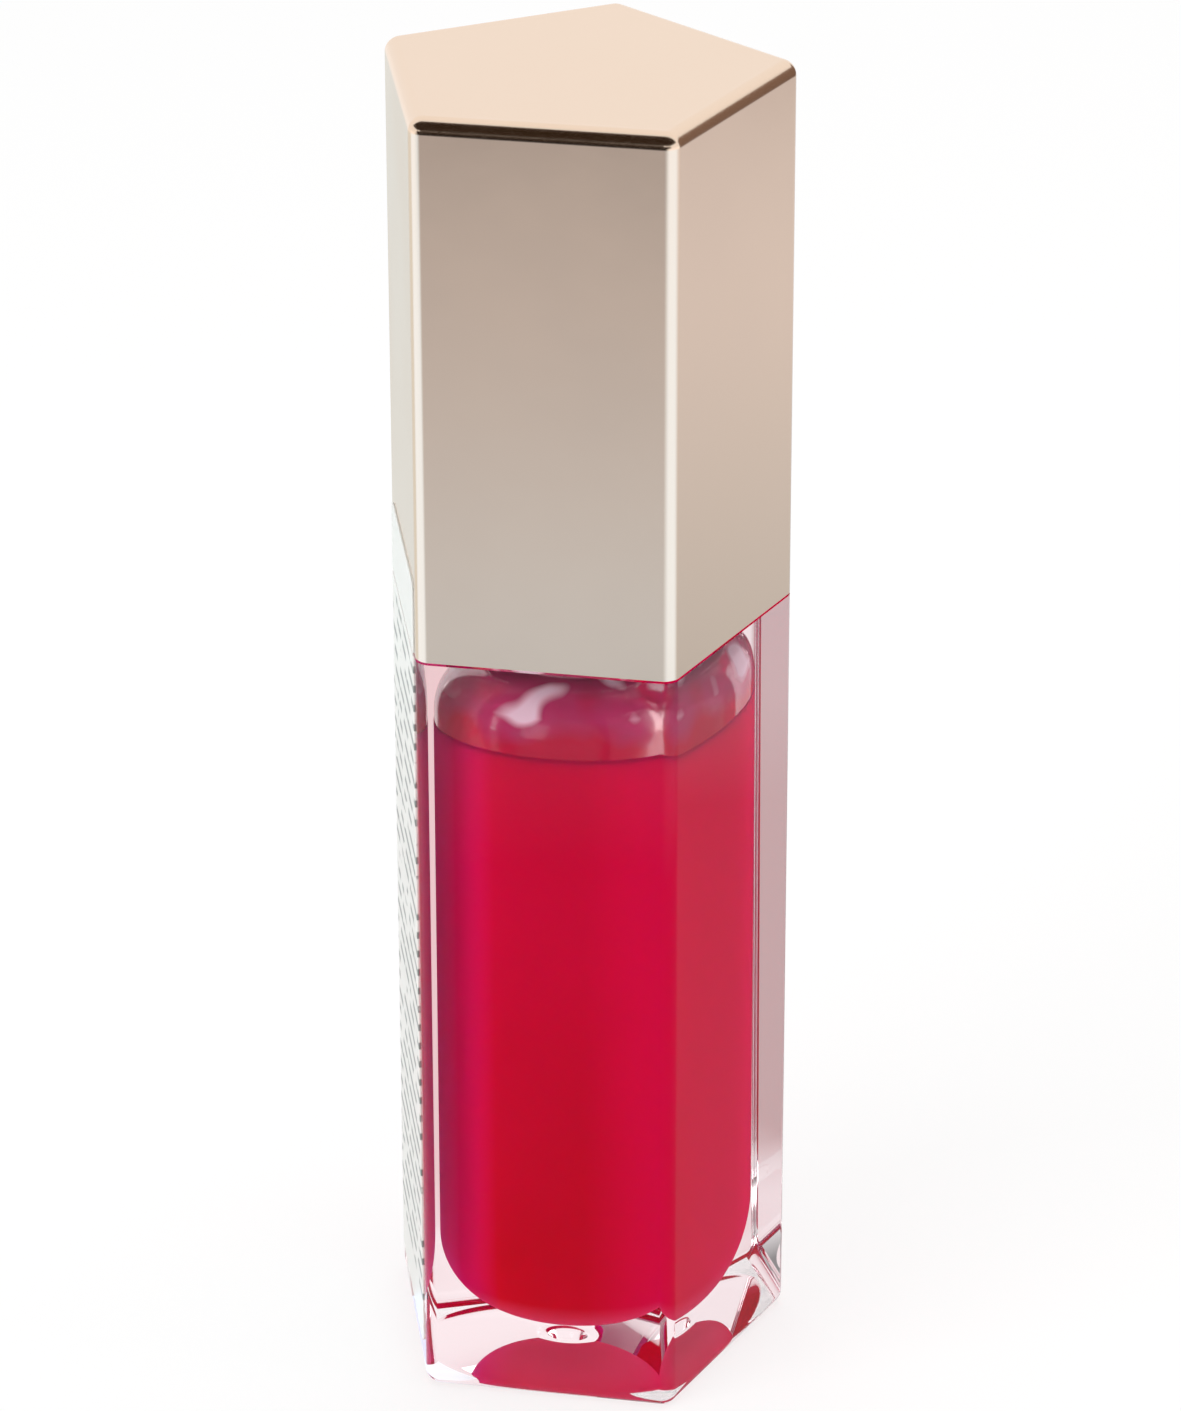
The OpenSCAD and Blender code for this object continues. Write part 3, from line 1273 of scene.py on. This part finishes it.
@dataclass
class Applicator:
    """The stem with its collar and socket plug, and the flocked doe-foot tip."""

    stem_r: float = 2.0
    collar_r: float = 3.7
    plug_r: float = 2.99
    tip_r: float = 2.3
    tip_low: float = 6.8
    tip_high: float = 17.8
    collar_low: float = 62.05
    plug_low: float = 62.95
    plug_high: float = 71.4
    tilt: float = 21.0

    def stem(self) -> bpy.types.Object:
        """Builds the stem by lathe, with its neck inside the flock.

        Returns:
            The stem.
        """
        points: Profile = [(0.01, self.tip_high - 1.5), (1.7, self.tip_high - 1.5)]
        points += [(1.75, self.tip_high - 0.1), (self.stem_r - 0.15, self.tip_high)]
        points += [(self.stem_r, self.tip_high + 0.25), (self.stem_r, self.collar_low - 0.6)]
        points += arc((self.stem_r + 0.6, self.collar_low - 0.6), 0.6, 180, 90, 5)
        points += [(self.collar_r - 0.1, self.collar_low), (self.collar_r, self.collar_low + 0.1)]
        points += [(self.collar_r, self.plug_low - 0.02), (self.plug_r, self.plug_low - 0.02)]
        points += [(self.plug_r, self.plug_high - 0.2), (self.plug_r - 0.2, self.plug_high)]
        points += [(0.01, self.plug_high)]
        piece = lathe("applicator_stem", points, 48)
        tidy(piece, 35)
        plastic = MouldedPlastic("stem_plastic", "#ece6e2", "#e3d6d4", 0.32)
        return dress(piece, plastic.make(), Body.CAP, ["stem"])

    def tip(self) -> bpy.types.Object:
        """Builds the flocked tip: a round-ended rod with one leaning face.

        Returns:
            The tip.
        """
        points: Profile = [(0.01, self.tip_low)]
        points += arc((0, self.tip_low + self.tip_r), self.tip_r, -88, 0, 12)
        points += [(self.tip_r, self.tip_low + 2.3 + 0.7 * i) for i in range(1, 12)]
        points += arc((self.tip_r - 0.35, self.tip_high - 0.35), 0.35, 0, 90, 4)
        points += [(1.78, self.tip_high), (1.78, self.tip_high - 1.4), (0.01, self.tip_high - 1.4)]
        piece = lathe("applicator_tip", points, 48)
        lean = math.radians(self.tilt)
        choose(piece)
        bpy.ops.object.mode_set(mode="EDIT")
        bpy.ops.mesh.select_all(action="SELECT")
        bpy.ops.mesh.bisect(
            plane_co=(0, self.tip_r * 0.25 * MM, self.tip_low * MM),
            plane_no=(0, -math.cos(lean), -math.sin(lean)),
            use_fill=True,
            clear_outer=True,
        )
        bpy.ops.object.mode_set(mode="OBJECT")
        tidy(piece, 50)
        return dress(piece, NylonFlock().make(), Body.CAP, ["tip_flock"])

    def build(self) -> list[bpy.types.Object]:
        """Builds the stem and the tip."""
        return [self.stem(), self.tip()]


@dataclass
class HiddenParts:
    """The CAD nodes that stay: the inner cap, the washer and the tip's core."""

    finishes: dict[str, MouldedPlastic] = field(
        default_factory=lambda: {
            "inner_cap": MouldedPlastic("natural_polypropylene", "#efece6", "#e4e0d8"),
            "sealing_washer": MouldedPlastic(
                "polyethylene_foam", "#e8e8e4", "#dadad4", 0.75, grain_mm=0.3, grain_depth_mm=0.03
            ),
            "tip_core": MouldedPlastic("soft_elastomer", "#e9d2cd", "#dfc2be", 0.5),
        }
    )

    def build(self, nodes: dict[str, bpy.types.Object]) -> None:
        """Gives each of these nodes its material.

        Args:
            nodes: the frame's CAD nodes, by name.
        """
        for name, finish in self.finishes.items():
            mesh = nodes[name].data
            mesh.materials.clear()
            mesh.materials.append(finish.make())
            LOG.info("%s: CAD node kept", name)


# --------------------------------------------------------------------------- stage


@dataclass
class View:
    """The photograph's camera, found from the tube's corners."""

    azimuth: float = 11.04
    elevation: float = 24.84
    roll: float = -0.126
    distance: float = 384.43
    across: float = 0.70
    up: float = 0.89
    lens: float = 156.28
    target_z: float = 43.0

    def build(self) -> None:
        """Makes the camera and sets it as the scene's."""
        az, el, roll = (math.radians(a) for a in (self.azimuth, self.elevation, self.roll))
        back = Vector((math.sin(az) * math.cos(el), -math.cos(az) * math.cos(el), math.sin(el)))
        right = (-back).cross(Vector((0, 0, 1))).normalized()
        upward = right.cross(-back)
        x_axis = right * math.cos(roll) + upward * math.sin(roll)
        y_axis = upward * math.cos(roll) - right * math.sin(roll)
        data = bpy.data.cameras.new("photo_camera")
        data.sensor_width = 36
        data.lens = self.lens
        data.clip_start = 0.01
        camera = bpy.data.objects.new("photo_camera", data)
        bpy.context.scene.collection.objects.link(camera)
        where = back * self.distance + x_axis * self.across + y_axis * self.up
        where.z += self.target_z
        turn = Matrix((x_axis, y_axis, back)).transposed().to_4x4()
        camera.matrix_world = Matrix.Translation(where * MM) @ turn
        bpy.context.scene.camera = camera


# Painted reflections: floor tones that only reflections see. The #d8ecff pools paint the highlights
# on the cap's edges; the greys, darks and browns paint shade on its faces and in the bottle.
NEAR_TONES: Tones = (
    (-172, "#d8ecff"), (-130, "#d8ecff"), (-114, "#767676"), (15, "#767676"),
    (70, "#767676"), (100, "#b9b9b9"), (172, "#b9b9b9"),
)
MIDDLE_TONES: Tones = (
    (-172, "#d8ecff"), (-130, "#d8ecff"), (-115, "#b1bfcd"), (-84, "#b1bfcd"),
    (-54, "#d8ecff"), (-14, "#d8ecff"), (12, "#abb0b5"), (70, "#a8acb0"),
    (100, "#c0c6c6"), (172, "#c0c6c6"),
)
FAR_TONES: Tones = (
    (-172, "#d8ecff"), (-130, "#d8ecff"), (-115, "#acacb0"), (-84, "#acacb0"),
    (-54, "#d8ecff"), (-14, "#d8ecff"), (12, "#bdbcc0"), (70, "#bdbcc0"),
    (100, "#c0c6c6"), (172, "#c0c6c6"),
)
HORIZON_TONES: Tones = (
    (-150, "#e2e2e2"), (-125, "#1a1816"), (-75, "#1a1816"), (-55, "#e2e2e2"),
    (15, "#e2e2e2"), (30, "#625148"), (70, "#625148"), (90, "#d6d6d6"),
)
# Painted tints that clear parts see on the floor: pink and grey shade seen through the bottle.
REFRACTED_TONES: Tones = (
    (-170, "#cfbfbe"), (-140, WHITE), (50, WHITE), (70, "#f0dcdc"),
    (100, "#f0dcdc"), (120, WHITE), (150, "#cfbfbe"),
)


@dataclass
class Studio:
    """A pale floor, soft lamps and the dark cards that draw the cap's edges.

    The stage is in metres. Its tones are colours of the floor by direction, in degrees from
    +X. Polished metal sees rings of them round the tube, and each ring fades into the next
    over a span of radii in millimetres. They are painted reflections: bright pools that paint
    the highlights on the cap's edges, and grey, dark and brown rings that paint shade on its
    faces and in the bottle.
    """

    floor_colour: str = "#f6f6f6"
    dark: str = "#33281f"
    brown: str = "#80695c"
    world_light: float = 0.6
    glow: float = 1.55
    camera_glow: float = 0.75
    aim_z: float = 0.045
    ring_spans: tuple[tuple[float, float], ...] = ((88.0, 108.0), (120.0, 195.0), (245.0, 345.0))
    contact_span: tuple[float, float] = (12.0, 18.0)

    def tones(
        self, shader: Shader, stops: Tones, way: bpy.types.NodeSocket
    ) -> bpy.types.NodeSocket:
        """Adds a ring of tones to the floor.

        Args:
            shader: the floor's shader.
            stops: the tones by direction.
            way: the socket that gives the direction, with a full turn from 0 to 1.

        Returns:
            The socket that gives the tone.
        """
        ramp = shader.add("ShaderNodeValToRGB", None, {"Fac": way})
        elements = ramp.color_ramp.elements
        while len(elements) < len(stops):
            elements.new(0.5)
        for element, (degrees, code) in zip(elements, stops):
            element.position = degrees / 360 + 0.5
            element.color = linear(code)
        return ramp.outputs["Color"]

    def floor(self) -> None:
        """A plain pale floor. Reflections see it painted with grey, dark and brown rings and bright
        pools, painted reflections of shade and highlights; clear parts see it white near the foot,
        with painted pink and grey tints further out.
        """
        deselect()
        bpy.ops.mesh.primitive_plane_add(size=4.0)
        piece = take("studio_floor")
        shader = Shader("pale_floor")
        place = shader.place()
        turn = shader.add("ShaderNodeTexGradient", {"gradient_type": "RADIAL"}, {"Vector": place})
        far = shader.add("ShaderNodeVectorMath", {"operation": "LENGTH"}, {0: place})
        way, reach = turn.outputs["Fac"], far.outputs["Value"]
        rays = shader.add("ShaderNodeLightPath").outputs
        rings = zip(self.ring_spans, (MIDDLE_TONES, FAR_TONES, HORIZON_TONES))
        # painted reflections: the rings of shade and bright pools that only reflections see
        card = shader.paint(
            self.tones(shader, NEAR_TONES, way),
            *(Layer(reach, *span, self.tones(shader, ring, way)) for span, ring in rings),
        )
        # painted tints that clear parts see
        refracted = shader.paint(
            linear(WHITE),
            Layer(reach, *self.contact_span, self.tones(shader, REFRACTED_TONES, way)),
        )
        mirrored = shader.add(
            "ShaderNodeMath",
            {"operation": "SUBTRACT", "use_clamp": True},
            {0: rays["Is Glossy Ray"], 1: rays["Is Transmission Ray"]},
        ).outputs[0]
        total = rays["Is Transmission Ray"]
        for ray, strength in ((rays["Is Camera Ray"], self.camera_glow), (mirrored, self.glow)):
            total = shader.add(
                "ShaderNodeMath", {"operation": "MULTIPLY_ADD"}, {0: ray, 1: strength, 2: total}
            ).outputs[0]
        shader.set(
            Base_Color=shader.paint(
                linear(self.floor_colour), Layer(total, 0.0, 1.0, (0, 0, 0, 1))
            ),
            Roughness=0.9,
            Specular_IOR_Level=0.0,
            Emission_Color=shader.paint(
                refracted,
                Layer(mirrored, 0.0, 1.0, card),
                Layer(rays["Is Camera Ray"], 0.0, 1.0, linear(WHITE)),
            ),
            Emission_Strength=total,
        )
        piece.data.materials.append(shader.material)

    def card(
        self,
        name: str,
        size: tuple[float, float],
        where: tuple[float, float, float],
        turn: tuple[float, float, float],
        colour: str,
    ) -> None:
        """Adds a dark card that only reflections see.

        Args:
            name: the card's and its material's name.
            size: its width and length.
            where: its middle.
            turn: its turns about X, Y and Z, in degrees.
            colour: its sRGB hex colour.
        """
        deselect()
        bpy.ops.mesh.primitive_plane_add(size=1.0)
        piece = take(name)
        piece.scale = (size[0], size[1], 1)
        piece.location = where
        piece.rotation_euler = [math.radians(angle) for angle in turn]
        place_of(piece)
        shader = Shader(name)
        rays = shader.add("ShaderNodeLightPath").outputs
        solid = shader.add(
            "ShaderNodeMapRange",
            None,
            {"Value": rays["Is Transmission Ray"], "To Min": 1.0, "To Max": 0.0},
        )
        shader.set(
            Base_Color=(0, 0, 0, 1),
            Specular_IOR_Level=0.0,
            Emission_Color=linear(colour),
            Emission_Strength=1.0,
            Alpha=solid.outputs["Result"],
        )
        piece.data.materials.append(shader.material)
        piece.visible_camera = False
        piece.visible_diffuse = False
        piece.visible_shadow = False
        piece.visible_transmission = False

    def lamp(
        self,
        name: str,
        where: tuple[float, float, float],
        size: tuple[float, float],
        watts: float,
        colour: str,
    ) -> None:
        """Adds a soft rectangular lamp aimed at the tube.

        Args:
            name: the lamp's name.
            where: its middle.
            size: its width and length.
            watts: its power.
            colour: its sRGB hex colour.
        """
        data = bpy.data.lights.new(name, "AREA")
        data.shape = "RECTANGLE"
        data.size, data.size_y = size
        data.energy = watts
        data.color = linear(colour)[:3]
        piece = bpy.data.objects.new(name, data)
        piece.visible_glossy = False
        bpy.context.scene.collection.objects.link(piece)
        spot = Vector(where)
        piece.location = spot
        away = spot - Vector((0, 0, self.aim_z))
        piece.rotation_euler = away.to_track_quat("Z", "Y").to_euler()

    def world(self) -> None:
        """Even pale surroundings, white wherever the camera, metal or clear parts see them."""
        world = bpy.data.worlds.new("pale_room")
        world.use_nodes = True
        nodes = Nodes(world.node_tree)
        rays = nodes.add("ShaderNodeLightPath").outputs
        seen = rays["Is Camera Ray"]
        for ray in ("Is Transmission Ray", "Is Glossy Ray"):
            seen = nodes.add(
                "ShaderNodeMath", {"operation": "MAXIMUM"}, {0: seen, 1: rays[ray]}
            ).outputs[0]
        strength = nodes.add(
            "ShaderNodeMapRange",
            None,
            {"Value": seen, "To Min": self.world_light, "To Max": 1.0},
        )
        background = world.node_tree.nodes["Background"]
        nodes.feed(background, "Strength", strength.outputs["Result"])
        nodes.feed(background, "Color", (1, 1, 1, 1))
        bpy.context.scene.world = world

    def build(self) -> None:
        """Sets the floor, the surroundings, the cards and the lamps."""
        self.floor()
        self.world()
        self.card("dark_ceiling", (2.0, 1.17), (0.0, -0.615, 0.5), (0, 0, 0), self.dark)
        self.card("dark_strip", (0.36, 0.8), (-0.31, -1.58, 0.5), (0, 0, 0), self.dark)
        self.card("dark_wall", (4.0, 0.5), (0.0, -1.95, 0.25), (90, 0, 0), self.dark)
        self.card("brown_card", (0.5, 0.24), (0.37, 0.335, 0.16), (90, 0, 132), self.brown)
        self.lamp("left_softbox", (-0.42, -0.55, 0.25), (0.5, 0.6), 4.2, WHITE)
        self.lamp("right_softbox", (0.6, 0.15, 0.35), (0.5, 0.6), 1.4, "#fff6f0")
        self.lamp("top_softbox", (0.0, 0.1, 0.8), (0.7, 0.7), 2.0, WHITE)
        bpy.context.scene.view_settings.view_transform = "Standard"


# --------------------------------------------------------------------------- main


def main() -> None:
    """Builds every sub-assembly on the CAD frame, then the stage."""
    logging.basicConfig(level=logging.INFO, format="%(name)s: %(message)s")
    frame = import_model()
    View().build()
    pieces = Bottle().build()
    pieces.append(GlossFill().build())
    pieces.append(Wiper().build())
    pieces += SealLabel().build()
    pieces.append(Cap().build())
    pieces += Applicator().build()
    LOG.info("%d new pieces", len(pieces))
    HiddenParts().build(frame["nodes"])
    Studio().build()
    deselect()


if __name__ == "__main__":
    main()
